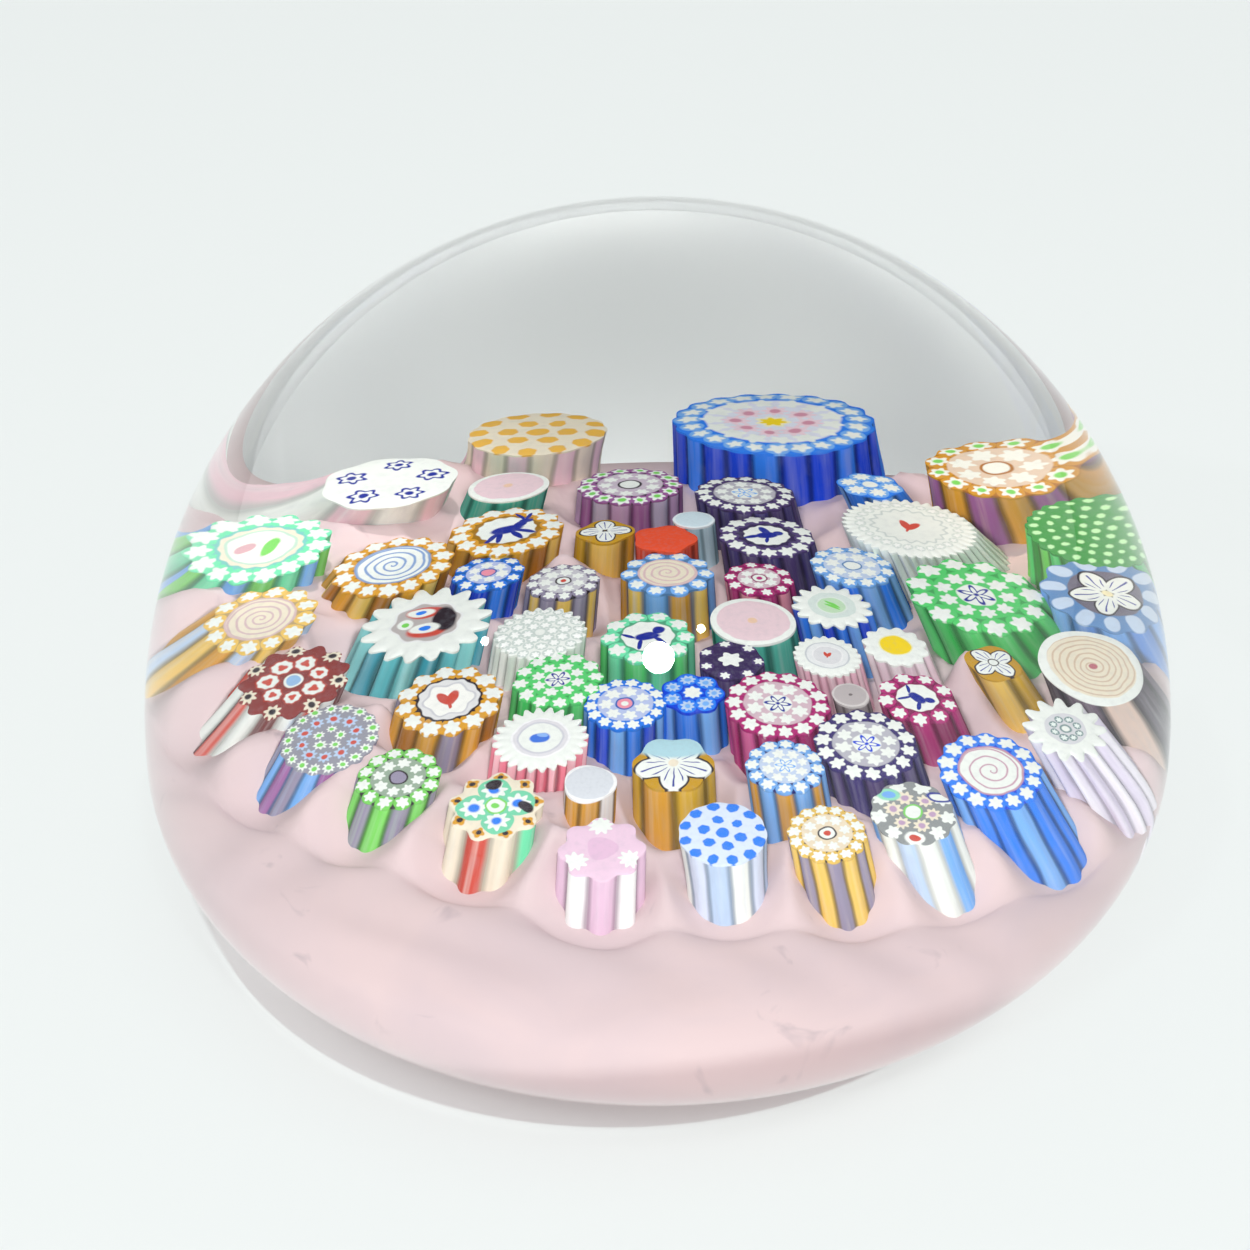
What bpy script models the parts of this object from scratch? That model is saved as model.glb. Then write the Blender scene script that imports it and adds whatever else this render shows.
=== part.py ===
"""Glass paperweight: canes standing in an opaque cushion, cased in a clear dome.

Metres, +Z up. The origin is the centre of the underside, on the table plane.
The front of the set-up (the near edge, with the pink flank) faces -Y.
"""
import math

import bmesh
import bpy
from mathutils import Matrix, Vector
from mathutils.geometry import intersect_point_line

MM = 0.001

# Clear casing
GLASS_RADIUS = 37.5 * MM        # at the girdle, the widest line
GIRDLE_HEIGHT = 13.5 * MM       # girdle above the table
CROWN_RISE = 38.0 * MM          # top of the dome above the girdle
PAD_INSET = 4.0 * MM            # base pad's edge inside the cushion's lower edge
RING_WIDTH = 6.0 * MM           # flat resting ring around the base pad
FOOT_BEVEL = 0.6 * MM           # ground-off edge of the resting ring

# Base pad
PAD_HEIGHT = 3.0 * MM           # underside of the cushion above the table
HOLLOW_DEPTH = 1.0 * MM         # polished hollow under the pad

# Cushion, the opaque ground
GLASS_WALL = 8.0 * MM           # clear glass between the cushion and the girdle
CUSHION_TUCK = 5.5 * MM         # cushion's lower edge inside its widest line
BELLY_RISE = 1.5 * MM           # cushion's widest line above its underside
CUSHION_SQUARE = 2.1            # 2 is an ellipse, higher is a squarer shoulder

# Set-up of canes
SHOULDER_WIDTH = 5.5 * MM       # bare cushion between the outermost canes and its edge
SETUP_RISE = 3.0 * MM           # middle cane's top above the girdle
SETUP_FALL = 5.0 * MM           # how much lower the outermost tops lie
CANE_SHOW = 5.5 * MM            # middle cane's length above the cushion
SEAT_DEPTH = 2.5 * MM           # cushion left under the canes' feet
EDGE_LEAN = math.radians(18)    # outward lean at the edge of the set-up

# Fits
CLEARANCE = 0.3 * MM            # gap between two pieces that meet
WEB = 0.2 * MM                  # least wall between two neighbouring cane sockets

TURN_STEPS = 40
CANE_SIDES = 10
PLAN_RADIUS = 24.0              # the plan below is drawn in millimetres for this set-up radius

CLEAR = (0.93, 0.95, 0.94)
PINK = (0.86, 0.72, 0.73)
WHITE = (0.90, 0.90, 0.88)
CREAM = (0.87, 0.82, 0.72)
AMBER = (0.72, 0.42, 0.06)
MUSTARD = (0.78, 0.56, 0.08)
RED = (0.70, 0.10, 0.07)
ROSE = (0.85, 0.45, 0.50)
MAGENTA = (0.55, 0.05, 0.25)
MAUVE = (0.45, 0.32, 0.50)
PURPLE = (0.13, 0.07, 0.25)
INDIGO = (0.07, 0.05, 0.28)
BLUE = (0.06, 0.22, 0.80)
SKY = (0.40, 0.62, 0.85)
AQUA = (0.25, 0.65, 0.70)
TEAL = (0.03, 0.45, 0.40)
GREEN = (0.08, 0.55, 0.22)
MINT = (0.35, 0.75, 0.55)
GREY = (0.45, 0.45, 0.47)

# Each cane: name, place across and along the plan, width of its top, colour of its body
CANE_PLAN = (
    ("cane_blue_stars", -10.8, 18.2, 4.8, WHITE),
    ("cane_yellow_honeycomb", -4.6, 21.6, 5.8, WHITE),
    ("cane_blue_flower", 4.8, 22.0, 8.0, BLUE),
    ("cane_pale_petals", 9.2, 17.0, 2.2, SKY),
    ("cane_amber_purple_stripes", 13.6, 18.8, 5.4, AMBER),
    ("cane_green_dots", 18.2, 14.8, 4.8, GREEN),
    ("cane_teal_disc_back", -6.2, 17.0, 3.2, TEAL),
    ("cane_mauve_stripes", -1.0, 16.4, 4.3, MAUVE),
    ("cane_purple_stars_back", 4.0, 15.6, 4.2, PURPLE),
    ("cane_purple_bird", 5.1, 11.7, 4.1, PURPLE),
    ("cane_pale_blue_rod", 1.8, 13.2, 1.4, SKY),
    ("cane_white_heart", 11.2, 13.4, 5.2, WHITE),
    ("cane_amber_deer", -6.6, 12.8, 4.6, AMBER),
    ("cane_mint_leaf", -16.6, 14.2, 5.2, MINT),
    ("cane_amber_spiral", -11.8, 10.9, 5.1, AMBER),
    ("cane_small_blue_stars", -7.7, 9.2, 3.2, BLUE),
    ("cane_small_grey_stripes", -4.3, 7.8, 3.3, GREY),
    ("cane_red_chunk", 0.5, 11.4, 2.0, RED),
    ("cane_back_pansy", -2.2, 12.2, 2.2, MUSTARD),
    ("cane_cream_spiral", 0.6, 8.1, 4.1, AMBER),
    ("cane_small_magenta_stars", 4.9, 7.8, 3.1, MAGENTA),
    ("cane_light_blue_stars", 9.1, 9.5, 3.6, BLUE),
    ("cane_white_cog", 8.4, 5.8, 3.5, BLUE),
    ("cane_large_green_stars", 14.8, 8.2, 6.2, GREEN),
    ("cane_blue_pansy", 20.0, 10.4, 5.4, SKY),
    ("cane_cream_disc", 20.9, 4.5, 5.4, PURPLE),
    ("cane_yellow_daisy", 11.6, 3.0, 2.9, ROSE),
    ("cane_small_heart", 8.4, 1.5, 3.2, ROSE),
    ("cane_teal_disc", 4.7, 4.0, 3.7, TEAL),
    ("cane_aqua_cog", -10.9, 5.4, 6.0, AQUA),
    ("cane_white_crimped", -5.6, 3.4, 4.1, WHITE),
    ("cane_mint_figure", -0.4, 2.5, 4.5, MINT),
    ("cane_green_stars", -4.9, -0.7, 4.4, GREEN),
    ("cane_small_purple_stars", 3.7, 0.6, 3.0, PURPLE),
    ("cane_cobalt_stars", -1.6, -3.0, 4.0, BLUE),
    ("cane_blue_seven_rods", 1.8, -2.2, 3.1, BLUE),
    ("cane_large_magenta_stars", 6.1, -2.9, 5.2, MAGENTA),
    ("cane_grey_rod", 9.7, -1.5, 1.4, GREY),
    ("cane_magenta_figure", 13.0, -1.1, 3.9, MAGENTA),
    ("cane_indigo_stars", 10.7, -5.4, 5.3, INDIGO),
    ("cane_small_pansy", 16.3, 3.0, 2.5, MUSTARD),
    ("cane_white_daisy", 20.6, -1.0, 4.7, WHITE),
    ("cane_blue_spiral", 17.3, -5.8, 5.7, BLUE),
    ("cane_blue_amber_stripes", 6.6, -7.7, 4.1, BLUE),
    ("cane_mustard_pansy", 0.8, -7.8, 4.1, MUSTARD),
    ("cane_pink_crimped", -6.0, -5.3, 4.8, ROSE),
    ("cane_amber_heart", -10.4, -1.3, 5.4, AMBER),
    ("cane_white_capped_amber", -3.6, -9.0, 2.4, AMBER),
    ("cane_red_hearts", -17.6, 2.9, 5.4, RED),
    ("cane_left_spiral", -18.0, 8.6, 5.0, CREAM),
    ("cane_eye_rods", -16.6, -2.4, 5.2, MAUVE),
    ("cane_green_grey_stripes", -13.5, -6.7, 4.6, GREEN),
    ("cane_red_mint_bundle", -8.6, -10.1, 4.9, RED),
    ("cane_pink_ribs", -3.1, -14.0, 4.3, ROSE),
    ("cane_blue_honeycomb", 3.4, -13.0, 4.6, SKY),
    ("cane_amber_grey_stripes", 9.0, -12.5, 4.3, AMBER),
    ("cane_mixed_rods", 13.5, -10.1, 4.6, WHITE),
)

cushion_radius = GLASS_RADIUS - GLASS_WALL
cushion_foot_radius = cushion_radius - CUSHION_TUCK
setup_radius = cushion_radius - SHOULDER_WIDTH
setup_top = GIRDLE_HEIGHT + SETUP_RISE
cushion_top = setup_top - CANE_SHOW
cushion_belly = PAD_HEIGHT + BELLY_RISE
seat_height = PAD_HEIGHT + SEAT_DEPTH
pad_radius = cushion_foot_radius - PAD_INSET
foot_radius = pad_radius + RING_WIDTH


def clear_scene():
    for old in list(bpy.data.objects):
        bpy.data.objects.remove(old, do_unlink=True)


def new_collection(name):
    group = bpy.data.collections.new(name)
    bpy.context.scene.collection.children.link(group)
    return group


def glass_material(name, colour, clear=False):
    """Principled glass: clear lead glass, or opaque coloured glass."""
    material = bpy.data.materials.new(name)
    material.use_nodes = True
    shader = material.node_tree.nodes["Principled BSDF"]
    shader.inputs["Base Color"].default_value = (*colour, 1.0)
    shader.inputs["Roughness"].default_value = 0.02 if clear else 0.12
    shader.inputs["Metallic"].default_value = 0.0
    shader.inputs["IOR"].default_value = 1.5
    if clear:
        shader.inputs["Transmission Weight"].default_value = 1.0
    material.diffuse_color = (*colour, 1.0)
    return material


def hide_as_cutter(cutter):
    cutter.hide_render = True
    cutter.display_type = "WIRE"


def turned(name, profile, group):
    """A solid of revolution about Z from (radius, height) points, top to bottom."""
    mesh = bpy.data.meshes.new(name)
    points = [(radius, 0.0, height) for radius, height in profile]
    edges = [(i, i + 1) for i in range(len(points) - 1)]
    mesh.from_pydata(points, edges, [])
    body = bpy.data.objects.new(name, mesh)
    group.objects.link(body)
    screw = body.modifiers.new("turn", "SCREW")
    screw.axis = "Z"
    screw.angle = math.tau
    screw.steps = TURN_STEPS
    screw.render_steps = TURN_STEPS
    screw.use_merge_vertices = True
    screw.merge_threshold = 0.00001
    screw.use_smooth_shade = True
    return body


def cut(body, cutter, name):
    boolean = body.modifiers.new(name, "BOOLEAN")
    boolean.operation = "DIFFERENCE"
    boolean.solver = "EXACT"
    boolean.object = cutter


def dome_profile():
    """Half ellipse above the girdle, and below it an ellipse that passes the foot."""
    points = []
    for i in range(13):
        angle = math.radians(90 - 7.5 * i)
        radius = GLASS_RADIUS * math.cos(angle) if i else 0.0
        points.append((radius, GIRDLE_HEIGHT + CROWN_RISE * math.sin(angle)))
    foot_share = foot_radius / GLASS_RADIUS
    belly_drop = GIRDLE_HEIGHT / math.sqrt(1 - foot_share ** 2)
    foot_angle = math.acos(foot_share)
    for i in range(1, 6):
        angle = foot_angle * i / 6
        points.append((GLASS_RADIUS * math.cos(angle), GIRDLE_HEIGHT - belly_drop * math.sin(angle)))
    points.append((foot_radius, FOOT_BEVEL))
    points.append((foot_radius - FOOT_BEVEL, 0.0))
    points.append((0.0, 0.0))
    return points


def cushion_profile(grow):
    """Superellipse top and elliptical flank, grown outward by the given gap."""
    radius = cushion_radius + grow
    rise = cushion_top - cushion_belly + grow
    points = []
    for i in range(9):
        angle = math.radians(90 - 11.25 * i)
        out = math.cos(angle) ** (2 / CUSHION_SQUARE) if i else 0.0
        up = math.sin(angle) ** (2 / CUSHION_SQUARE) if i < 8 else 0.0
        points.append((radius * out, cushion_belly + rise * up))
    inset = cushion_radius - cushion_foot_radius
    drop = cushion_belly - PAD_HEIGHT + grow
    for i in range(1, 5):
        angle = math.radians(22.5 * i)
        points.append((radius - inset * (1 - math.cos(angle)), cushion_belly - drop * math.sin(angle)))
    return points


def cane_axis(across, along):
    """Top and foot of a cane: it leans outward, the more the nearer the edge."""
    scale = setup_radius / PLAN_RADIUS
    outward = Vector((across, along, 0.0)) * scale
    share = outward.length / setup_radius
    top = outward + Vector((0.0, 0.0, setup_top - SETUP_FALL * share ** 2))
    lean = EDGE_LEAN * share
    length = (top.z - seat_height) / math.cos(lean)
    down = outward.normalized() * math.sin(lean) - Vector((0.0, 0.0, math.cos(lean)))
    return top, top + down * length


def distance_to_axis(point, axis):
    top, foot = axis
    near, share = intersect_point_line(point, top, foot)
    near = top.lerp(foot, min(max(share, 0.0), 1.0))
    return (point - near).length


def axis_distance(one, other):
    """Closest approach of two canes' centre lines, read at both ends and the middle."""
    reads = []
    for a, b in ((one, other), (other, one)):
        for share in (0.0, 0.5, 1.0):
            reads.append(distance_to_axis(a[0].lerp(a[1], share), b))
    return min(reads)


def cane_radii(axes):
    """Planned radii; neighbours that would touch share the room between them."""
    scale = setup_radius / PLAN_RADIUS
    planned = [width * scale / 2 for _, _, _, width, _ in CANE_PLAN]
    gap = 2 * CLEARANCE + WEB
    radii = list(planned)
    for i, axis in enumerate(axes):
        for j, other in enumerate(axes):
            if i == j:
                continue
            room = axis_distance(axis, other) - gap
            share = planned[i] / (planned[i] + planned[j])
            radii[i] = min(radii[i], room * share)
    return radii


def rod_placement(axis):
    top, foot = axis
    turn = (top - foot).to_track_quat("Z", "Y").to_matrix().to_4x4()
    return Matrix.Translation((top + foot) / 2) @ turn


def make_cane(name, axis, radius, colour, group):
    mesh = bpy.data.meshes.new(name)
    shape = bmesh.new()
    bmesh.ops.create_cone(shape, cap_ends=True, segments=CANE_SIDES, radius1=radius,
                          radius2=radius, depth=(axis[0] - axis[1]).length)
    shape.to_mesh(mesh)
    shape.free()
    mesh.shade_smooth()
    mesh.set_sharp_from_angle(angle=math.radians(50))
    cane = bpy.data.objects.new(name, mesh)
    cane.matrix_world = rod_placement(axis)
    cane.data.materials.append(glass_material(name + "_glass", colour))
    group.objects.link(cane)
    return cane


def make_sockets(axes, radii, group):
    """One cutter holding every cane's socket: the cane grown by the clearance."""
    mesh = bpy.data.meshes.new("cane_sockets")
    shape = bmesh.new()
    for axis, radius in zip(axes, radii):
        depth = (axis[0] - axis[1]).length + 2 * CLEARANCE
        bmesh.ops.create_cone(shape, cap_ends=True, segments=CANE_SIDES, radius1=radius + CLEARANCE,
                              radius2=radius + CLEARANCE, depth=depth, matrix=rod_placement(axis))
    shape.to_mesh(mesh)
    shape.free()
    sockets = bpy.data.objects.new("cane_sockets", mesh)
    group.objects.link(sockets)
    hide_as_cutter(sockets)
    return sockets


def make_cavity(group):
    """Room inside the casing for the cushion, open below for the base pad."""
    below = -5 * MM
    profile = cushion_profile(CLEARANCE)
    profile += [(pad_radius + CLEARANCE, PAD_HEIGHT - CLEARANCE), (pad_radius + CLEARANCE, below), (0.0, below)]
    cavity = turned("casing_cavity", profile, group)
    hide_as_cutter(cavity)
    return cavity


def make_casing(cavity, sockets, group):
    casing = turned("clear_casing", dome_profile(), group)
    casing.data.materials.append(glass_material("clear_glass", CLEAR, clear=True))
    cut(casing, cavity, "cushion room")
    cut(casing, sockets, "cane sockets")
    return casing


def make_cushion(sockets, group):
    profile = cushion_profile(0.0) + [(0.0, PAD_HEIGHT)]
    cushion = turned("pink_cushion", profile, group)
    cushion.data.materials.append(glass_material("pink_glass", PINK))
    cut(cushion, sockets, "cane sockets")
    return cushion


def make_base_pad(group):
    """Clear disc that closes the underside, polished to a shallow hollow."""
    top = PAD_HEIGHT - CLEARANCE
    profile = [(0.0, top), (pad_radius, top), (pad_radius, 0.0)]
    for i in range(1, 5):
        share = 1 - i / 4
        profile.append((pad_radius * share, HOLLOW_DEPTH * (1 - share ** 2)))
    pad = turned("base_pad", profile, group)
    pad.data.materials.append(glass_material("base_glass", CLEAR, clear=True))
    return pad


def build():
    clear_scene()
    parts = new_collection("millefiori_paperweight")
    cutters = new_collection("cutters")
    axes = [cane_axis(across, along) for _, across, along, _, _ in CANE_PLAN]
    radii = cane_radii(axes)
    sockets = make_sockets(axes, radii, cutters)
    make_casing(make_cavity(cutters), sockets, parts)
    make_cushion(sockets, parts)
    make_base_pad(parts)
    for row, axis, radius in zip(CANE_PLAN, axes, radii):
        make_cane(row[0], axis, radius, row[4], parts)


build()
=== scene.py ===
"""Millefiori paperweight: patterned glass canes in a pale pink cushion, under a clear dome."""

import math

import bpy
import numpy as np
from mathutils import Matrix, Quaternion, Vector


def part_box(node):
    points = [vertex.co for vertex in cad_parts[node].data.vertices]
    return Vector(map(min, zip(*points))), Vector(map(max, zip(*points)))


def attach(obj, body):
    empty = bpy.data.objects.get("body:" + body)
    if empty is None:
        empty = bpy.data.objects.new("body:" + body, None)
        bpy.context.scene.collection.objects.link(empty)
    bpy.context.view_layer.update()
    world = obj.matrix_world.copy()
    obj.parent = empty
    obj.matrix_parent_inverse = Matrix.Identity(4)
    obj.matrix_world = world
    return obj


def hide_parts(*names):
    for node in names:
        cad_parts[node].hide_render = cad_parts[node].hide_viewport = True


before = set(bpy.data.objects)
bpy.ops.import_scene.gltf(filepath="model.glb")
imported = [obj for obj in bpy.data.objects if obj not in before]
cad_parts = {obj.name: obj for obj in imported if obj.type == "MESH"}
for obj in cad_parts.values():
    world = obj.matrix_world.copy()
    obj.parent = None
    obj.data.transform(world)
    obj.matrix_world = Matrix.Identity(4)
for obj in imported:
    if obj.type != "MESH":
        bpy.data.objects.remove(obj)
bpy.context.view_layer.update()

# Casing: one thick gather of clear lead glass, fire-polished above and ground
# flat below. The cushion and canes are fused inside it, so the glass is one
# closed skin that runs down the dome, under the belly and across the foot.
casing_low, casing_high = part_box("clear_casing")
GLASS_RADIUS = casing_high.x
GLASS_HEIGHT = casing_high.z
GIRDLE_HEIGHT = 0.0135   # the widest line above the table
FOOT_RADIUS = 0.0260     # outer edge of the resting ring
FOOT_BEVEL = 0.0006
PAD_RADIUS = 0.0200      # edge of the polished hollow
HOLLOW_DEPTH = 0.0010


def round_piece(name, rings, ends, sharp=180):
    """A closed round skin: rings of points, top ring first, and a middle point for each end."""
    rows, columns = rings.shape[:2]
    index = np.arange(rows * columns).reshape(rows, columns)
    after = np.roll(index, -1, axis=1)
    quads = np.stack([index[:-1], index[1:], after[1:], after[:-1]], axis=-1).reshape(-1, 4)
    top = np.stack([np.full(columns, rows * columns), index[0], after[0]], axis=-1)
    foot = np.stack([np.full(columns, rows * columns + 1), after[-1], index[-1]], axis=-1)
    places = np.vstack([rings.reshape(-1, 3), ends])
    mesh = bpy.data.meshes.new(name)
    mesh.from_pydata(places.tolist(), [], quads.tolist() + top.tolist() + foot.tolist())
    mesh.shade_smooth()
    if sharp < 180:
        mesh.set_sharp_from_angle(angle=math.radians(sharp))
    piece = bpy.data.objects.new(name, mesh)
    bpy.context.scene.collection.objects.link(piece)
    return piece


def turned_rings(radius, height, columns):
    """Carry a line of radii and heights once round the upright axis."""
    around = np.linspace(0.0, math.tau, columns, endpoint=False)
    across = radius[:, None] * np.cos(around)
    along = radius[:, None] * np.sin(around)
    return np.stack([across, along, np.repeat(height[:, None], columns, axis=1)], axis=-1)


def dome_line():
    """Half an ellipse above the girdle, one through the foot below it, a bevel, then the hollow."""
    lift = np.linspace(math.pi / 2 - 0.02, 0.0, 90)
    rise = GLASS_HEIGHT - GIRDLE_HEIGHT
    share = FOOT_RADIUS / GLASS_RADIUS
    drop = GIRDLE_HEIGHT / math.sqrt(1 - share ** 2)
    sink = np.linspace(0.0, math.acos(share), 46)[1:-2]
    bevel = np.linspace(0.0, math.pi / 2, 6)
    hollow = np.linspace(1.0, 0.03, 16)
    radius = [GLASS_RADIUS * np.cos(lift), GLASS_RADIUS * np.cos(sink),
              FOOT_RADIUS - FOOT_BEVEL * (1 - np.cos(bevel)), PAD_RADIUS * hollow]
    height = [GIRDLE_HEIGHT + rise * np.sin(lift), GIRDLE_HEIGHT - drop * np.sin(sink),
              FOOT_BEVEL * (1 - np.sin(bevel)), HOLLOW_DEPTH * (1 - hollow ** 2)]
    return np.concatenate(radius), np.concatenate(height)


dome = round_piece("clear_dome", turned_rings(*dome_line(), 192),
                   [[0.0, 0.0, GLASS_HEIGHT], [0.0, 0.0, HOLLOW_DEPTH]], sharp=40)

clear = bpy.data.materials.new("clear lead glass")
clear.use_nodes = True
shader = clear.node_tree.nodes["Principled BSDF"]
shader.inputs["Base Color"].default_value = (1.0, 1.0, 1.0, 1.0)
shader.inputs["Roughness"].default_value = 0.0
shader.inputs["IOR"].default_value = 1.5
shader.inputs["Transmission Weight"].default_value = 1.0
dome.data.materials.append(clear)
dome.visible_shadow = False
dome.visible_diffuse = False
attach(dome, "root")
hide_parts("clear_casing", "base_pad")

# Cane glass and the starred canes. A cane is a bundle of thin star rods, each
# cased in coloured glass, fused and drawn out together, then cut into short
# lengths. They stand in the cushion, fan with the set-up and spread at the foot.


def card(red, green, blue):
    """A glass colour as read off a colour card, 0 to 255, in the light's own scale."""
    share = np.array([red, green, blue]) / 255
    return tuple(float(c) for c in np.where(share < 0.04, share / 12.92,
                                            ((share + 0.055) / 1.055) ** 2.4))


WHITE = card(238, 242, 236)
CREAM = card(236, 226, 204)
BLUE = card(48, 128, 238)
DEEP_BLUE = card(24, 70, 214)
NAVY = card(34, 48, 150)
SKY = card(120, 176, 240)
PALE_SKY = card(186, 208, 236)
AMBER = card(216, 156, 46)
DARK_AMBER = card(172, 110, 26)
HONEY = card(236, 196, 96)
MUSTARD = card(214, 170, 40)
PURPLE = card(84, 66, 118)
INDIGO = card(66, 54, 118)
MAGENTA = card(182, 48, 120)
MAUVE = card(160, 98, 158)
LILAC = card(192, 182, 208)
GREEN = card(92, 216, 118)
LEAF = card(124, 214, 96)
MINT = card(112, 224, 172)
TEAL = card(70, 176, 156)
AQUA = card(112, 206, 214)
GREY = card(150, 142, 166)
RED = card(206, 80, 66)
ORANGE_RED = card(232, 84, 52)
BLACK = card(48, 38, 46)
ROSE = card(238, 150, 168)
PINK = card(240, 206, 214)
YELLOW = card(246, 214, 40)


class Share:
    """A number at every point of the glass; sums of shares draw the patterns."""

    def __init__(self, out):
        self.out = out

    def __add__(self, other):
        return worked("ADD", self, other)

    def __sub__(self, other):
        return worked("SUBTRACT", self, other)

    def __rsub__(self, other):
        return worked("SUBTRACT", other, self)

    def __mul__(self, other):
        return worked("MULTIPLY", self, other)

    def __truediv__(self, other):
        return worked("DIVIDE", self, other)


def worked(kind, *values, clamp=False):
    """One sum on shares and plain numbers."""
    tree = next(value.out.id_data for value in values if isinstance(value, Share))
    node = tree.nodes.new("ShaderNodeMath")
    node.operation = kind
    node.use_clamp = clamp
    for socket, value in zip(node.inputs, values):
        if isinstance(value, Share):
            tree.links.new(value.out, socket)
        else:
            socket.default_value = value
    return Share(node.outputs[0])


def reach(x, y):
    """Distance from the middle: the root of x squared plus y squared."""
    return worked("SQRT", x * x + y * y)


def bearing(x, y):
    return worked("ARCTAN2", y, x)


def within(edge, distance, blur=0.03):
    """One inside the edge and nought outside it, with a narrow soft step."""
    return worked("MULTIPLY", edge - distance, 1 / blur, clamp=True)


def star_edge(x, y, size, points, depth):
    """Radius of a rounded star: the size less a share that swings once for each point."""
    swing = worked("COSINE", bearing(x, y) * points)
    return swing * (size * depth / 2) + size * (1 - depth / 2)


def ring_of_rods(x, y, count, at, turn=0.0):
    """Fold the top into equal sectors, so one rod's across and along serve the whole ring."""
    sector = bearing(x, y) * (count / math.tau) + turn
    near = worked("ROUND", sector)
    off = (sector - near) * (math.tau / count)
    away = reach(x, y)
    return away * worked("COSINE", off) - at, away * worked("SINE", off), near


class CaneGlass:
    """Opaque cane glass, built up from layers laid over one another across the cane's top.

    Every size is a share of the cane's radius.
    """

    KNEAD = 0.10       # how far the hot working moves a pattern about
    TOP_EDGE = 0.016   # how far over the rim the top's pattern runs
    RIM = 0.045        # width of a thin rim line
    # The dark seam is painted shade in the groove between two casings.
    GROOVE_SHADE = 0.45        # where a dark seam starts, in casings from a casing's middle

    def __init__(self, node, casing, ribs, ground=WHITE):
        self.node, self.ribs = node, ribs
        self.material = bpy.data.materials.new(node.replace("cane_", "") + " glass")
        self.material.use_nodes = True
        self.tree = self.material.node_tree
        seed = sum(ord(letter) for letter in node)
        plan = self.tree.nodes.new("ShaderNodeAttribute")
        plan.attribute_name = "plan"
        self.plan = self.noise_place(plan.outputs["Vector"], (1.0, 1.0, 1.0), seed)
        knead = self.noise(self.plan, 2.6, 1.0)
        halves = self.tree.nodes.new("ShaderNodeSeparateXYZ")
        self.tree.links.new(knead.outputs["Color"], halves.inputs[0])
        split = self.tree.nodes.new("ShaderNodeSeparateXYZ")
        self.tree.links.new(plan.outputs["Vector"], split.inputs[0])
        self.x = Share(split.outputs[0]) + (Share(halves.outputs[0]) - 0.5) * self.KNEAD
        self.y = Share(split.outputs[1]) + (Share(halves.outputs[1]) - 0.5) * self.KNEAD
        self.on_top = within(self.TOP_EDGE, Share(split.outputs[2]), 0.006)
        self.away = reach(self.x, self.y)
        self.colour = casing[0]
        self.casings(casing, ribs)
        self.top(ground)

    def noise_place(self, vector, scale, seed):
        """The plan, stretched and moved to a part of the noise that is this cane's own."""
        place = self.tree.nodes.new("ShaderNodeMapping")
        place.inputs["Scale"].default_value = scale
        place.inputs["Location"].default_value = (seed * 0.37, seed * 0.11, seed * 0.23)
        self.tree.links.new(vector, place.inputs["Vector"])
        return place.outputs[0]

    def noise(self, vector, scale, detail):
        grain = self.tree.nodes.new("ShaderNodeTexNoise")
        grain.inputs["Scale"].default_value = scale
        grain.inputs["Detail"].default_value = detail
        self.tree.links.new(vector, grain.inputs["Vector"])
        return grain

    def lay(self, colour, mask):
        """Lay a colour over what is there wherever the mask is one."""
        mix = self.tree.nodes.new("ShaderNodeMix")
        mix.data_type = "RGBA"
        self.tree.links.new(mask.out, mix.inputs["Factor"])
        for socket, value in ((mix.inputs[6], self.colour), (mix.inputs[7], colour)):
            if isinstance(value, tuple):
                socket.default_value = (*value, 1.0)
            else:
                self.tree.links.new(value, socket)
        self.colour = mix.outputs[2]

    def dab(self, colour, edge, distance, blur=0.03):
        """Lay a colour on the top only, inside an edge."""
        self.lay(colour, self.on_top * within(edge, distance, blur))

    def casings(self, colours, ribs):
        """Casings side by side round the cane, streaked down it, with painted shade in the grooves
        between them.
        """
        sector = bearing(self.x, self.y) * (ribs / math.tau)
        near = worked("ROUND", sector)
        place = worked("FLOORED_MODULO", near, float(len(colours)))
        for i, colour in enumerate(colours[1:], start=1):
            self.lay(colour, within(0.5, worked("ABSOLUTE", place - float(i)), 0.1))
        off = worked("ABSOLUTE", sector - near)
        drawn = self.noise_place(self.plan, (3.0, 3.0, 0.4), 3)
        streak = Share(self.noise(drawn, 3.0, 3.0).outputs["Fac"])
        pale = worked("MULTIPLY", streak - 0.42, 2.6, clamp=True)
        base = np.array(colours[0])
        self.lay(tuple(0.45 + 0.55 * base), pale * within(0.42, off, 0.3) * 0.42)
        # Painted shade: each casing's colour is dimmed toward its edges, in the grooves between the
        # ribs.
        self.lay(tuple(base * (0.2 + 0.5 * base.min())), (1 - within(self.GROOVE_SHADE, off, 0.13)) * 0.8)

    def top(self, colour, size=1.1):
        """The ground of the top, between its rods."""
        self.dab(colour, size, self.away)

    def star_ring(self, count, at, size, colour, eye=None, cell=None, points=6, turn=0.0,
                  depth=0.30):
        """A ring of star rods in their casings, some with a coloured eye, no two quite alike."""
        x, y, near = ring_of_rods(self.x, self.y, count, at, turn)
        chance = worked("FRACT", worked("SINE", near * 12.9898 + at) * 43.758)
        away = reach(x, y) * (chance * 0.22 + 0.92)
        if cell is not None:
            self.dab(cell, size * 1.24, away, 0.02)
        edge = star_edge(x, y, size, points, depth)
        self.dab(colour, edge, away, 0.03)
        if eye is not None:
            self.dab(eye, size * 0.46, away, size * 0.16)

    def disc(self, size, colour, rim=None, points=0, depth=0.1):
        """A round rod in the middle, plain or crimped, with a thin rim of another colour."""
        edge, outer = size, size + self.RIM
        if points:
            edge = star_edge(self.x, self.y, size, points, depth)
            outer = edge + self.RIM
        if rim is not None:
            self.dab(rim, outer, self.away, 0.025)
        self.dab(colour, edge, self.away, 0.025)

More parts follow.
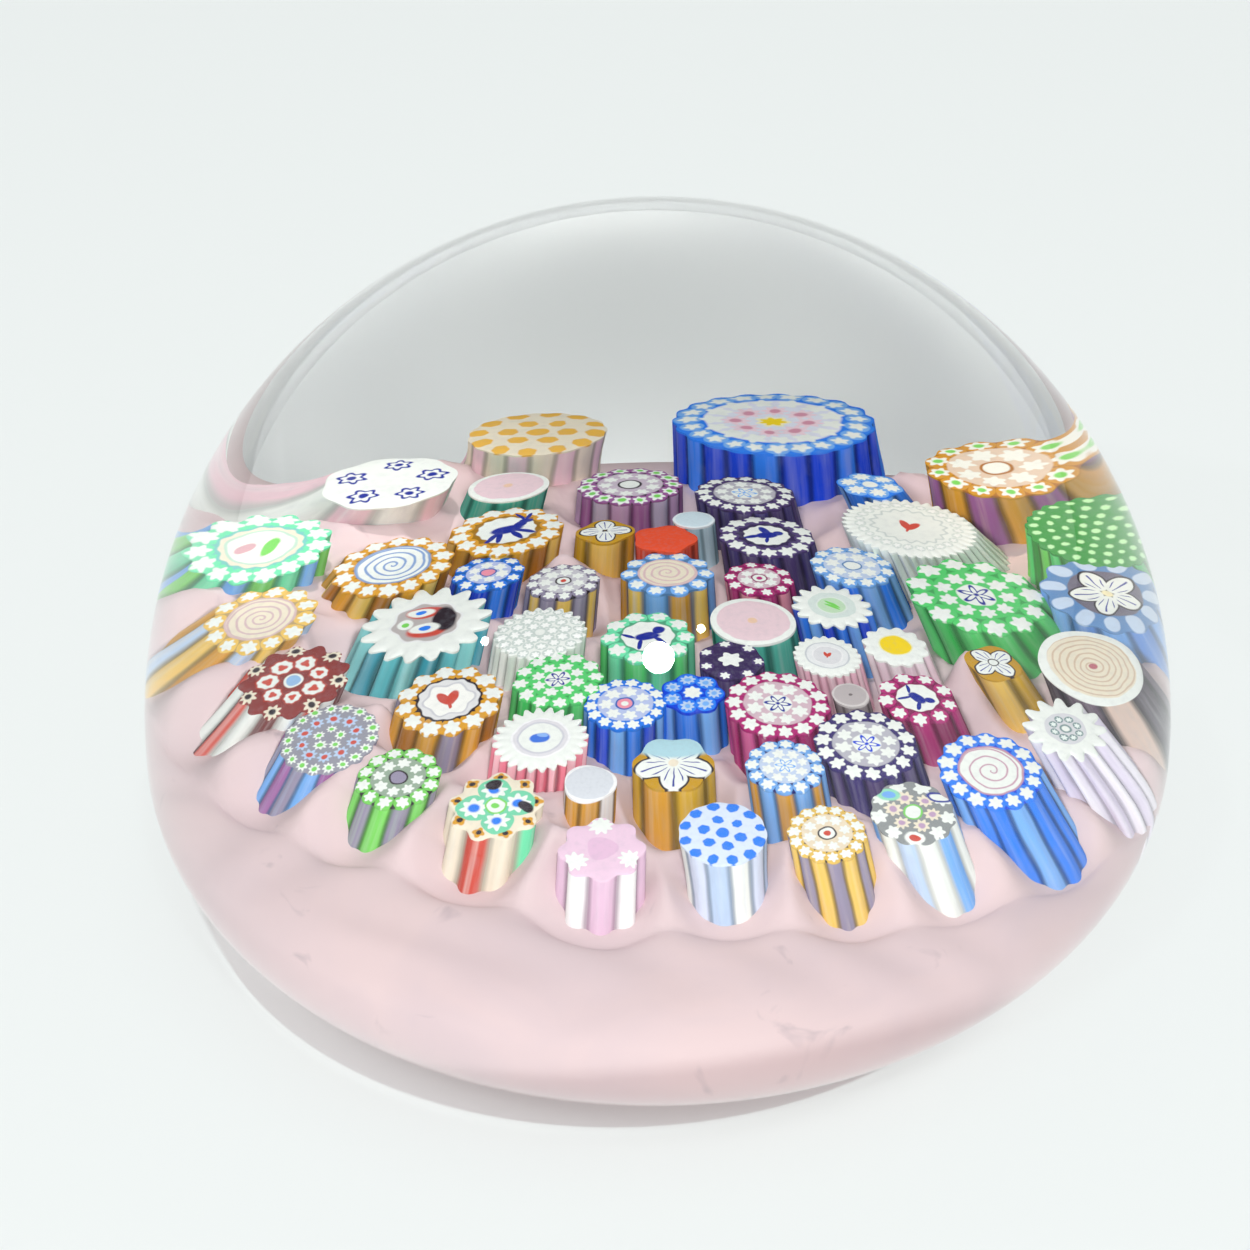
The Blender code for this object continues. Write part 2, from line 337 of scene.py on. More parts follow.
    def star(self, size, colour):
        """A star drawn as an outline, with a dot of its colour in the middle."""
        edge = star_edge(self.x, self.y, size, 6, 0.55)
        self.dab(colour, edge, self.away, 0.03)
        self.dab(WHITE, edge - 0.065, self.away, 0.03)
        self.dab(colour, size * 0.20, self.away, 0.03)

    def spiral(self, size, turns, colour, thick=0.2):
        """A rolled line: radius less one pitch for each whole turn, kept to a thin band."""
        roll = self.away * (turns / size) - bearing(self.x, self.y) / math.tau + 8.0
        line = worked("ABSOLUTE", worked("FRACT", roll) - 0.5)
        self.lay(colour, self.on_top * within(thick, line, 0.12) * within(size, self.away, 0.02))

    def heart(self, size, colour):
        """Two ovals that lean outward and meet at the point, with a short tip below."""
        self.blots([(-0.34, 0.18, 0.46, 0.98, 24), (0.34, 0.18, 0.46, 0.98, -24),
                    (0.0, -0.74, 0.16, 0.42, 0)], size, colour)

    def blots(self, ovals, size, colour, tilt=0.0):
        """A small silhouette of overlapping ovals: middle, half widths and tilt of each."""
        lean = math.radians(tilt)
        for across, along, wide, tall, turn in ovals:
            place = Vector((across, along, 0.0)) * size
            place.rotate(Quaternion((0, 0, 1), lean))
            angle = math.radians(turn) + lean
            x = self.x - place.x
            y = self.y - place.y
            u = (x * math.cos(angle) + y * math.sin(angle)) / (wide * size)
            v = (y * math.cos(angle) - x * math.sin(angle)) / (tall * size)
            self.dab(colour, 1.0, reach(u, v), 0.2)

    def finish(self):
        """Cloud the colour a little, as drawn glass is; fused inside the casing it has no gloss."""
        cloud = Share(self.noise(self.plan, 7.0, 4.0).outputs["Fac"])
        fade = worked("MULTIPLY", cloud - 0.46, 2.2, clamp=True)
        self.lay(card(150, 156, 166), fade * 0.22)
        shader = self.tree.nodes["Principled BSDF"]
        shader.inputs["Roughness"].default_value = 0.6
        shader.inputs["Specular IOR Level"].default_value = 0.0
        self.tree.links.new(self.colour, shader.inputs["Base Color"])
        return self.material


SETUP_SLOPE = 24.0       # lean of a top for each metre out from the middle
FOOT_SWEEP = 0.0014      # how far a foot spreads outward at the fan radius
FAN_RADIUS = 0.020
SETUP_EDGE = 0.0275      # no foot spreads past this
planted = []


def cane_stand(node):
    """Middle of the top and middle of the foot of a cane, read from its solid."""
    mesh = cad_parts[node].data
    places = np.zeros(len(mesh.vertices) * 3)
    mesh.vertices.foreach_get("co", places)
    places = np.unique(places.reshape(-1, 3).round(6), axis=0)
    order = places[np.argsort(places[:, 2])]
    half = len(order) // 2
    return order[half:].mean(axis=0), order[:half].mean(axis=0)


def cane_rings(top, foot, radius, ribs, crimp, waist, flare):
    """A cane's skin: round the top from its middle to the rim, then down the side to the foot.

    The radius swings in and out once for each rib. The top is a shallow crown square to a
    line that leans out with the slope of the set-up; the side sweeps outward at the foot.
    """
    out = np.array([top[0], top[1], 0.0])
    away = np.linalg.norm(out)
    out = out / max(away, 1e-6)
    facing = 0.86 + 0.14 * out[1]
    lean = math.atan(SETUP_SLOPE * away) * facing
    normal = out * math.sin(lean) + np.array([0.0, 0.0, math.cos(lean)])
    across = np.array([1.0, 0.0, 0.0]) - normal[0] * normal
    across /= np.linalg.norm(across)
    along = np.cross(normal, across)
    columns = max(60, 8 * ribs if ribs < 20 else 6 * ribs)
    turn = np.linspace(0.0, math.tau, columns, endpoint=False)
    swing = -crimp * (0.5 - 0.5 * np.cos(ribs * turn)) ** 1.3
    face = np.array([0.08, 0.22, 0.36, 0.5, 0.62, 0.74, 0.84, 0.92, 0.97, 0.99])
    side = np.array([0.0, 0.016, 0.045, 0.1, 0.18, 0.27, 0.36, 0.46, 0.56, 0.67, 0.78, 0.9, 1.0])
    share = np.concatenate([face, np.ones(side.size)])
    down = np.concatenate([np.zeros(face.size), side])
    outline = share[:, None] * (1 + swing[None, :] * (share ** 3)[:, None])
    plan = np.stack([outline * np.cos(turn), outline * np.sin(turn),
                     np.repeat(down[:, None], columns, axis=1)], axis=-1)
    grown = 1 - waist * np.sin(math.pi * np.minimum(1, down * 1.5)) + flare * down ** 2
    lift = 0.05 * radius * (1 - share ** 4)
    swept = foot + out * FOOT_SWEEP * (away / FAN_RADIUS) ** 2
    overhang = np.linalg.norm(swept[:2]) + radius * (1 + flare) - SETUP_EDGE
    swept = swept - out * max(0.0, overhang)
    middle = top + (swept - top) * down[:, None] + normal * lift[:, None]
    upright = np.minimum(1.0, down * 1.6)[:, None]
    across_row = across * (1 - upright) + np.array([1.0, 0.0, 0.0]) * upright
    along_row = along * (1 - upright) + np.array([0.0, 1.0, 0.0]) * upright
    spread = (plan[..., :1] * across_row[:, None, :] + plan[..., 1:2] * along_row[:, None, :])
    rings = middle[:, None, :] + radius * grown[:, None, None] * spread
    return rings, plan, [middle[0], swept]


def set_cane(glass, width, slot, crimp=0.07, waist=0.0, flare=0.12, ribs=None):
    """Make one cane in place of its solid, mark its plan on the skin and give it its glass."""
    top, foot = cane_stand(glass.node)
    radius = width / 2000
    rings, plan, ends = cane_rings(top, foot, radius, ribs or glass.ribs, crimp, waist, flare)
    piece = round_piece(glass.node.replace("cane_", "drawn_"), rings, ends, sharp=60)
    marks = np.vstack([plan.reshape(-1, 3), [[0.0, 0.0, 0.0], [0.0, 0.0, 1.0]]])
    layer = piece.data.attributes.new("plan", "FLOAT_VECTOR", "POINT")
    layer.data.foreach_set("vector", marks.ravel())
    piece.data.materials.append(glass.finish())
    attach(piece, "root")
    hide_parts(glass.node)
    standing = ends[1] * 0.62 + top * 0.38   # about where the side meets the ground
    planted.append((*standing[:2], radius * (1 + flare * 0.4)))


def shade(colour, share):
    return tuple(share * c for c in colour)


def starred(node, width, slot, casing, ring, inner, seam=None, eye=None, inner_cell=None,
            middle=WHITE, middle_star=None, dot=None, **shape):
    """A starred cane: one ring of star rods, a second within it, and a rod in the middle."""
    seam = shade(casing[0], 0.55) if seam is None else seam
    glass = CaneGlass(node, casing, ring, seam)
    rod = min(0.20, 2.75 / ring)
    glass.star_ring(ring, 0.82, rod, WHITE, eye, shade(casing[0], 0.9))
    if inner:
        at = 0.46 if inner > 6 else 0.40
        size = min(0.22, 3.1 * at / inner)
        ground = inner_cell or tuple(0.46 + 0.4 * np.array(casing[0]))
        glass.top(ground, at + size * 1.1)
        glass.star_ring(inner, at, size, WHITE, turn=0.5)
    if middle_star is not None:
        glass.disc(0.29, WHITE)
        glass.star(0.28, middle_star)
    elif inner:
        glass.disc(0.20, middle, rim=seam)
    else:
        glass.disc(0.40, WHITE, rim=seam, points=6, depth=0.3)
    if dot is not None:
        glass.disc(0.10, dot)
    set_cane(glass, width, slot, **shape)


starred("cane_purple_stars_back", 4.4, "opaque_purple", [PURPLE, INDIGO], 16, 9,
        middle_star=SKY)
starred("cane_small_blue_stars", 3.4, "opaque_blue", [BLUE, DEEP_BLUE], 10, 6, middle=ROSE)
starred("cane_small_grey_stripes", 3.5, "opaque_grey", [GREY, HONEY], 12, 7, seam=BLACK,
        dot=RED)
starred("cane_small_magenta_stars", 3.3, "opaque_magenta", [MAGENTA, ROSE], 10, 6,
        dot=MAGENTA)
starred("cane_light_blue_stars", 3.9, "opaque_blue", [SKY, BLUE], 12, 7)
starred("cane_large_green_stars", 6.6, "opaque_green", [GREEN, GREEN, card(60, 190, 90)], 12, 9,
        middle_star=NAVY, crimp=0.12, inner_cell=shade(GREEN, 0.9))
starred("cane_green_stars", 4.6, "opaque_green", [GREEN, card(70, 200, 100)], 12, 8,
        middle_star=NAVY, crimp=0.1, inner_cell=shade(GREEN, 0.9))
starred("cane_small_purple_stars", 3.3, "opaque_purple", [PURPLE, INDIGO], 7, 0,
        flare=0.3)
starred("cane_cobalt_stars", 4.2, "opaque_blue", [BLUE, DEEP_BLUE, SKY], 14, 7,
        dot=WHITE, middle=ROSE)
starred("cane_large_magenta_stars", 5.4, "opaque_magenta", [MAGENTA, card(214, 84, 152)], 14, 8,
        middle_star=NAVY, flare=0.2)
starred("cane_indigo_stars", 5.5, "opaque_indigo", [INDIGO, PURPLE], 14, 8,
        middle_star=DEEP_BLUE, flare=0.25)
starred("cane_blue_amber_stripes", 4.2, "opaque_blue", [SKY, AMBER], 12, 8,
        seam=shade(NAVY, 0.5), middle_star=SKY)
starred("cane_amber_grey_stripes", 4.4, "opaque_amber", [HONEY, GREY], 14, 8, seam=BLACK,
        dot=RED, flare=0.18)
starred("cane_green_grey_stripes", 4.7, "opaque_green", [LEAF, GREY], 12, 8, seam=BLACK,
        inner_cell=card(150, 170, 150), middle=GREY, flare=0.25)
starred("cane_mauve_stripes", 4.6, "opaque_mauve", [MAUVE, LILAC, card(196, 160, 200)], 14, 9,
        seam=BLACK, eye=LEAF)
starred("cane_amber_purple_stripes", 5.2, "opaque_amber", [AMBER, MAUVE], 12, 7,
        seam=DARK_AMBER, eye=LEAF, flare=0.2)

blue_seven = CaneGlass("cane_blue_seven_rods", [BLUE, SKY], 7, DEEP_BLUE)
blue_seven.star_ring(7, 0.66, 0.27, PALE_SKY, SKY, BLUE, points=8)
blue_seven.disc(0.30, WHITE, rim=BLUE, points=8, depth=0.2)
set_cane(blue_seven, 3.3, "opaque_blue", crimp=0.12)

blue_stars = CaneGlass("cane_blue_stars", [WHITE, PINK], 8)
blue_stars.star_ring(5, 0.62, 0.26, NAVY)
blue_stars.star_ring(5, 0.62, 0.19, WHITE, NAVY)
set_cane(blue_stars, 5.4, "opaque_white", crimp=0.05)

# Eye-rod canes: bundles of small round rods with coloured eyes instead of
# stars. The rods are cased in clear and coloured glass in turn, so the side of
# each cane is striped in two or three colours.
eye_rods = CaneGlass("cane_eye_rods", [SKY, MAUVE, GREY], 18, card(150, 150, 162))
eye_rods.star_ring(18, 0.86, 0.15, WHITE, LEAF, points=8)
eye_rods.star_ring(10, 0.55, 0.17, PALE_SKY, RED, points=8)
eye_rods.star_ring(5, 0.24, 0.14, WHITE, LEAF, points=8)
set_cane(eye_rods, 5.4, "opaque_mauve", crimp=0.05, flare=0.3)

mixed = CaneGlass("cane_mixed_rods", [WHITE, PALE_SKY, WHITE, SKY], 11, card(146, 150, 150))
mixed.star_ring(9, 0.82, 0.24, WHITE)
mixed.star_ring(6, 0.46, 0.23, CREAM, card(190, 160, 190), None, points=8)
mixed.disc(0.20, WHITE, rim=LEAF)
mixed.blots([(0.1, -0.8, 0.28, 0.2, 0)], 1.0, WHITE)
mixed.blots([(0.1, -0.8, 0.16, 0.10, 0)], 1.0, RED)
mixed.blots([(-0.6, 0.45, 0.3, 0.22, 0)], 1.0, card(150, 220, 190))
mixed.blots([(-0.6, 0.45, 0.17, 0.12, 0)], 1.0, SKY)
mixed.blots([(0.55, 0.6, 0.32, 0.2, 0)], 1.0, NAVY)
mixed.blots([(0.55, 0.6, 0.24, 0.13, 0)], 1.0, WHITE)
set_cane(mixed, 4.8, "opaque_white", crimp=0.07, flare=0.2)

red_mint = CaneGlass("cane_red_mint_bundle", [CREAM, RED, CREAM, MINT], 9, CREAM)
red_mint.star_ring(9, 0.84, 0.17, AMBER, BLACK, CREAM, points=4)
red_mint.star_ring(4, 0.46, 0.31, WHITE, BLUE, card(120, 210, 170), points=8)
red_mint.blots([(0.0, 0.62, 0.2, 0.16, 20), (0.62, -0.12, 0.22, 0.14, -50)], 1.0, BLACK)
red_mint.disc(0.20, WHITE, rim=LEAF)
red_mint.disc(0.09, LEAF)
set_cane(red_mint, 5.2, "opaque_red", crimp=0.16, flare=0.3)

red_hearts = CaneGlass("cane_red_hearts", [WHITE, RED, WHITE, card(120, 60, 60)], 14,
                       card(140, 56, 54))
red_hearts.star_ring(7, 0.84, 0.20, CREAM, BLACK, points=8, turn=0.5)
red_hearts.star_ring(7, 0.47, 0.235, shade(RED, 0.8), points=8, depth=0.1)
red_hearts.star_ring(7, 0.47, 0.20, WHITE, points=8, depth=0.1)
red_hearts.star_ring(7, 0.47, 0.11, RED, points=3)
red_hearts.disc(0.15, card(150, 190, 230), rim=WHITE)
set_cane(red_hearts, 5.8, "opaque_red", crimp=0.13, flare=0.35)

blue_flower = CaneGlass("cane_blue_flower", [DEEP_BLUE, BLUE, DEEP_BLUE], 20, BLUE)
blue_flower.star_ring(22, 0.84, 0.115, WHITE, cell=SKY, points=5)
blue_flower.top(card(225, 228, 240), 0.70)
blue_flower.star_ring(14, 0.60, 0.145, WHITE, points=5)
blue_flower.star_ring(8, 0.36, 0.17, card(240, 214, 224), card(214, 150, 170), None, points=8)
blue_flower.disc(0.15, YELLOW, rim=card(246, 240, 200), points=7, depth=0.3)
set_cane(blue_flower, 8.0, "opaque_blue", crimp=0.04, flare=0.05)

petals = CaneGlass("cane_pale_petals", [BLUE, SKY], 6, BLUE)
petals.star_ring(6, 0.62, 0.30, WHITE, cell=SKY, points=8)
petals.disc(0.24, WHITE, rim=SKY)
set_cane(petals, 2.8, "opaque_sky", crimp=0.12)

# Picture canes: a white rod carries a tiny dark blue silhouette, a leaf or a
# red heart, and a ring of white star rods in coloured casings surrounds it.
# The silhouettes are plain animals, built of a few overlapping ovals.
STAG = [(0.0, 0.0, 0.52, 0.28, 12), (0.40, 0.28, 0.17, 0.32, -28), (0.58, 0.48, 0.23, 0.15, -8),
        (-0.46, -0.42, 0.10, 0.38, -38), (-0.24, -0.44, 0.10, 0.36, -8),
        (0.26, -0.40, 0.10, 0.36, 24), (0.50, -0.22, 0.10, 0.36, 62),
        (0.44, 0.78, 0.07, 0.28, 24), (0.68, 0.76, 0.07, 0.26, -30)]
BIRD = [(0.0, 0.0, 0.48, 0.28, 20), (0.42, 0.26, 0.21, 0.19, 0), (-0.54, -0.24, 0.36, 0.14, 28),
        (-0.10, 0.38, 0.19, 0.44, 30), (0.06, -0.42, 0.08, 0.28, 0)]
HOUND = [(0.0, 0.0, 0.50, 0.26, -8), (0.48, 0.22, 0.25, 0.20, 20), (-0.42, -0.36, 0.10, 0.36, -30),
         (0.32, -0.40, 0.10, 0.34, 20), (-0.62, 0.26, 0.08, 0.30, 40)]


def pictured(node, casing, ring, drawing=None, size=0.62, rod=0.54, seam=None, tilt=0.0,
             ground=WHITE):
    """A picture cane: a ring of star rods round one white rod that bears the drawing."""
    seam = shade(casing[0], 0.5) if seam is None else seam
    glass = CaneGlass(node, casing, ring, seam)
    glass.star_ring(ring, 0.81, min(0.21, 2.8 / ring), WHITE, cell=casing[0])
    glass.disc(rod, ground, rim=seam, points=ring, depth=0.06)
    if drawing is not None:
        glass.blots(drawing, size, NAVY, tilt)
    return glass


stag = pictured("cane_amber_deer", [AMBER, DARK_AMBER, HONEY], 14, STAG)
set_cane(stag, 5.2, "opaque_amber", crimp=0.10)
bird = pictured("cane_purple_bird", [PURPLE, INDIGO], 13, BIRD, size=0.54, rod=0.50)
set_cane(bird, 4.4, "opaque_purple")
hound = pictured("cane_mint_figure", [MINT, GREEN], 10, HOUND, rod=0.58, tilt=20)
set_cane(hound, 4.6, "opaque_mint", crimp=0.12)
leaping = pictured("cane_magenta_figure", [MAGENTA, card(150, 40, 96)], 9, HOUND, size=0.6,
                   rod=0.56, tilt=-25)
set_cane(leaping, 4.1, "opaque_magenta", crimp=0.1, flare=0.2)

leaf = pictured("cane_mint_leaf", [MINT, SKY, LEAF], 14, rod=0.60, ground=CREAM,
                seam=card(120, 200, 190))
leaf.disc(0.46, card(244, 246, 236), rim=card(190, 220, 200))
leaf.blots([(0.15, -0.08, 0.40, 0.16, 50)], 0.7, LEAF)
leaf.blots([(-0.30, 0.12, 0.26, 0.14, 20)], 0.7, card(214, 170, 176))
set_cane(leaf, 5.8, "opaque_mint", crimp=0.12, flare=0.4)

heart = pictured("cane_amber_heart", [AMBER, GREY, AMBER, DARK_AMBER], 12, rod=0.60,
                 seam=BLACK, ground=card(226, 226, 226))
heart.disc(0.48, card(246, 246, 240), rim=card(205, 205, 210), points=6, depth=0.2)
heart.heart(0.23, RED)
set_cane(heart, 5.6, "opaque_amber", crimp=0.12)

# Spiral canes: a sheet of white glass rolled up with a thin sheet of another
# colour, cased, ringed with white star rods, and drawn out.


def rolled(node, width, slot, casing, ring, turns, line, ground=WHITE, seam=None, thick=0.2,
           **shape):
    """A spiral cane: the rolled sheet seen end on, inside a ring of star rods."""
    seam = shade(casing[0], 0.5) if seam is None else seam
    glass = CaneGlass(node, casing, ring, seam)
    glass.star_ring(ring, 0.82, min(0.19, 2.7 / ring), WHITE, cell=casing[0])
    glass.disc(0.60, ground, rim=line)
    glass.spiral(0.60, turns, line, thick)
    set_cane(glass, width, slot, **shape)


rolled("cane_amber_spiral", 5.6, "opaque_amber", [AMBER, HONEY, DARK_AMBER], 14, 4.0,
       card(130, 160, 205), crimp=0.10, flare=0.2)
rolled("cane_cream_spiral", 4.4, "opaque_amber", [SKY, AMBER, HONEY], 10, 3.6,
       card(222, 190, 190), ground=CREAM, crimp=0.12)
rolled("cane_left_spiral", 5.4, "opaque_cream", [HONEY, AMBER, PALE_SKY], 12, 4.2,
       card(214, 186, 186), ground=CREAM, seam=card(190, 160, 110), crimp=0.12, flare=0.4)
rolled("cane_blue_spiral", 6.0, "opaque_blue", [BLUE, SKY, BLUE], 14, 3.0,
       card(196, 150, 170), seam=DEEP_BLUE, thick=0.14, flare=0.25)

# Honeycomb canes: coloured dots in a white or green ground, each dot a rod
# drawn inside a white tube and packed six round one.


def honeycomb(node, casing, ribs, ground, cell, rings, size):
    """Rows of like dots: one in the middle, then rings of six, twelve and more."""
    glass = CaneGlass(node, casing, ribs, ground)
    for i in range(1, rings + 1):
        glass.star_ring(6 * i, 0.86 * i / rings, size, cell, turn=0.25 * i, depth=0.08)
    glass.disc(size, cell)
    return glass


yellow_comb = honeycomb("cane_yellow_honeycomb", [CREAM, PINK], 16, CREAM, card(236, 184, 78),
                        2, 0.17)
set_cane(yellow_comb, 5.6, "opaque_white", crimp=0.03, waist=0.06)
blue_comb = honeycomb("cane_blue_honeycomb", [PALE_SKY, WHITE, card(214, 224, 244)], 11,
                      card(214, 226, 244), BLUE, 2, 0.16)
set_cane(blue_comb, 4.8, "opaque_sky", crimp=0.03, waist=0.10, flare=0.12)
green_comb = honeycomb("cane_green_dots", [LEAF, GREEN, card(60, 150, 60)], 26,
                       card(60, 150, 66), card(190, 240, 180), 4, 0.075)
set_cane(green_comb, 5.4, "opaque_green", crimp=0.05, flare=0.4)

# Crimped canes: a soft white gather pressed in a toothed mould, so the edge of
# the top is a cog, then cased or left bare. The teeth run down the whole side.
white_heart = CaneGlass("cane_white_heart", [WHITE, card(222, 232, 222)], 40)
white_heart.star_ring(26, 0.72, 0.08, card(246, 248, 244), cell=card(214, 222, 216), points=5)
white_heart.disc(0.56, card(234, 238, 232), rim=card(206, 214, 210), points=18, depth=0.12)
white_heart.heart(0.17, RED)
set_cane(white_heart, 5.9, "opaque_white", crimp=0.09, flare=0.1)

stardust = CaneGlass("cane_white_crimped", [WHITE, card(226, 236, 226)], 24)
for count, at, size in ((18, 0.82, 0.12), (12, 0.54, 0.13), (6, 0.27, 0.13)):
    stardust.star_ring(count, at, size, card(250, 252, 248), cell=card(204, 214, 208))
stardust.disc(0.12, WHITE, rim=card(204, 214, 208))
set_cane(stardust, 4.6, "opaque_white", crimp=0.12, flare=0.15)

small_heart = CaneGlass("cane_small_heart", [card(240, 190, 206), PINK], 22)
small_heart.disc(0.62, card(232, 234, 234), rim=card(200, 204, 208))
small_heart.disc(0.44, card(222, 222, 224), rim=card(240, 240, 240))
small_heart.heart(0.14, RED)
set_cane(small_heart, 3.4, "opaque_rose", crimp=0.10)

white_cog = CaneGlass("cane_white_cog", [BLUE, SKY, DEEP_BLUE], 15)
white_cog.disc(0.60, card(216, 228, 222), rim=WHITE)
white_cog.disc(0.36, card(196, 226, 190), rim=card(226, 236, 228))
white_cog.blots([(0.0, 0.1, 0.42, 0.10, -28), (0.02, -0.1, 0.42, 0.09, -20)], 0.6, LEAF)
set_cane(white_cog, 3.9, "opaque_blue", crimp=0.20)

aqua_cog = CaneGlass("cane_aqua_cog", [AQUA, card(150, 226, 226), card(70, 170, 190)], 16)
aqua_cog.disc(0.54, card(186, 178, 176), rim=card(236, 238, 236), points=8, depth=0.1)
aqua_cog.blots([(0.02, 0.55, 0.62, 0.32, -6), (-0.05, -0.45, 0.66, 0.42, -4)], 0.5, RED)
aqua_cog.blots([(0.55, 0.0, 0.40, 0.70, -8)], 0.5, BLACK)
aqua_cog.blots([(-0.1, 0.58, 0.46, 0.22, -6), (-0.08, -0.30, 0.52, 0.30, -4),
                (-0.62, 0.12, 0.26, 0.30, 0)], 0.5, WHITE)
aqua_cog.blots([(-0.1, 0.58, 0.18, 0.10, 0), (-0.08, -0.30, 0.20, 0.14, 0)], 0.5, BLUE)
aqua_cog.blots([(-0.62, 0.12, 0.12, 0.13, 0)], 0.5, LEAF)
set_cane(aqua_cog, 6.4, "opaque_aqua", crimp=0.20, flare=0.15)

pink_cog = CaneGlass("cane_pink_crimped", [card(240, 130, 152), card(250, 196, 206)], 24)
pink_cog.disc(0.58, card(224, 222, 226), rim=card(246, 246, 246))
pink_cog.disc(0.46, WHITE, rim=card(206, 206, 214))
pink_cog.blots([(0.0, 0.0, 0.55, 0.40, 10)], 0.42, card(70, 120, 220))
pink_cog.blots([(0.15, 0.2, 0.30, 0.16, -20)], 0.42, card(140, 180, 240))
set_cane(pink_cog, 5.0, "opaque_rose", crimp=0.16, flare=0.12)

yellow_daisy = CaneGlass("cane_yellow_daisy", [card(238, 214, 224), card(246, 234, 238)], 12)
yellow_daisy.disc(0.48, YELLOW, rim=card(240, 236, 180))
set_cane(yellow_daisy, 3.3, "opaque_rose", crimp=0.14)

white_daisy = CaneGlass("cane_white_daisy", [card(222, 214, 232), card(238, 234, 242)], 13)
white_daisy.disc(0.50, card(216, 216, 220), rim=WHITE)
white_daisy.star_ring(8, 0.30, 0.10, card(236, 244, 240), cell=card(120, 146, 146), points=6)
white_daisy.disc(0.10, WHITE, rim=card(120, 146, 146))
set_cane(white_daisy, 4.9, "opaque_white", crimp=0.26, flare=0.3)

# Pansy canes: a few broad white petals with fine blue veins, each petal a
# flattened rod in a dark casing, over a mustard or pale blue body.


def pansy(glass, petals, at, wide, tall, vein, turn=0.0):
    """Petals as folded ovals, each with three dark veins that fan from the flower's middle."""
    x, y, near = ring_of_rods(glass.x, glass.y, petals, at, turn)
    away = reach(x / wide, y / tall)
    glass.lay(BLACK, glass.on_top * within(1.14, away, 0.05))
    glass.lay(WHITE, glass.on_top * within(1.0, away, 0.08))
    fan = worked("ABSOLUTE", y / (x + (at + wide * 0.2)))
    rays = within(0.045, worked("ABSOLUTE", worked("ABSOLUTE", fan - 0.17) - 0.17), 0.03)
    glass.lay(vein, glass.on_top * rays * within(0.76, away, 0.1))


blue_pansy = CaneGlass("cane_blue_pansy", [SKY, card(96, 150, 226)], 11, shade(SKY, 0.6))
blue_pansy.star_ring(11, 0.80, 0.22, card(196, 214, 236), points=2)
blue_pansy.disc(0.60, shade(GREY, 0.5))
pansy(blue_pansy, 5, 0.32, 0.26, 0.185, NAVY)
blue_pansy.disc(0.09, card(246, 236, 190))
set_cane(blue_pansy, 6.0, "opaque_sky", crimp=0.10, flare=0.4)

mustard_pansy = CaneGlass("cane_mustard_pansy", [MUSTARD, AMBER, MUSTARD], 6, card(196, 150, 40))
pansy(mustard_pansy, 5, 0.50, 0.46, 0.34, NAVY, 0.25)
mustard_pansy.blots([(0.0, 0.75, 1.10, 0.62, 0)], 1.0, card(176, 214, 224))
mustard_pansy.disc(0.14, CREAM)
set_cane(mustard_pansy, 4.3, "opaque_mustard", crimp=0.12, flare=0.08)

small_pansy = CaneGlass("cane_small_pansy", [MUSTARD, HONEY], 4, card(196, 150, 40))
pansy(small_pansy, 4, 0.46, 0.40, 0.32, NAVY, 0.3)
small_pansy.disc(0.16, WHITE, rim=BLACK)
set_cane(small_pansy, 2.9, "opaque_mustard", crimp=0.14, flare=0.15)

back_pansy = CaneGlass("cane_back_pansy", [MUSTARD, HONEY], 4, card(196, 150, 40))
pansy(back_pansy, 4, 0.46, 0.40, 0.32, NAVY)
set_cane(back_pansy, 2.7, "opaque_mustard", crimp=0.14)

# Plain discs, rods and chips: one-colour tubes round a paler core, and thin
# drawn rods that fill the gaps between the patterned canes.


def tubed(node, body, core, rim=WHITE, wall=0.88):
    """A cased tube: the core, a pale rim line and the body's colour down the side."""
    glass = CaneGlass(node, body, 8, rim)
    glass.disc(wall, core)
    return glass


for node, width in (("cane_teal_disc_back", 3.5), ("cane_teal_disc", 4.2)):
    teal_disc = tubed(node, [TEAL, TEAL, card(90, 190, 170)], card(232, 206, 212), wall=0.86)
    teal_disc.disc(0.13, card(236, 200, 170))
    set_cane(teal_disc, width, "opaque_teal", crimp=0.02, ribs=3)

cream_disc = tubed("cane_cream_disc", [card(74, 62, 78), card(110, 92, 110),
                                       card(216, 192, 178)], CREAM, wall=0.84)
cream_disc.spiral(0.84, 7.0, card(214, 190, 164), 0.2)
cream_disc.disc(0.09, card(190, 110, 120))
set_cane(cream_disc, 5.8, "opaque_purple", crimp=0.02, flare=0.4, ribs=5)

sky_rod = tubed("cane_pale_blue_rod", [card(168, 206, 222), card(186, 216, 228)],
                card(206, 224, 232), rim=card(226, 236, 240))
set_cane(sky_rod, 1.9, "opaque_sky", crimp=0.02)

red_chip = tubed("cane_red_chunk", [ORANGE_RED, card(216, 70, 44)], ORANGE_RED, rim=ORANGE_RED)
set_cane(red_chip, 3.0, "opaque_red", crimp=0.12, ribs=5)

grey_rod = tubed("cane_grey_rod", [card(150, 140, 142)], card(186, 178, 178),
                 rim=card(208, 202, 200))
grey_rod.disc(0.12, card(120, 110, 110))
set_cane(grey_rod, 1.9, "opaque_grey", crimp=0.02)

capped = tubed("cane_white_capped_amber", [AMBER, AMBER, card(228, 224, 222)],
               card(214, 218, 224), rim=card(240, 240, 240))
set_cane(capped, 2.9, "opaque_amber", crimp=0.10, flare=0.1, ribs=3)

ribbed = CaneGlass("cane_pink_ribs", [card(226, 190, 214), card(246, 246, 244)], 8,
                   card(232, 200, 220))
ribbed.star_ring(3, 0.72, 0.34, WHITE, points=9, turn=0.25)
ribbed.disc(0.40, card(224, 186, 212), points=3, depth=0.2)
set_cane(ribbed, 4.8, "opaque_rose", crimp=0.16, flare=0.25)

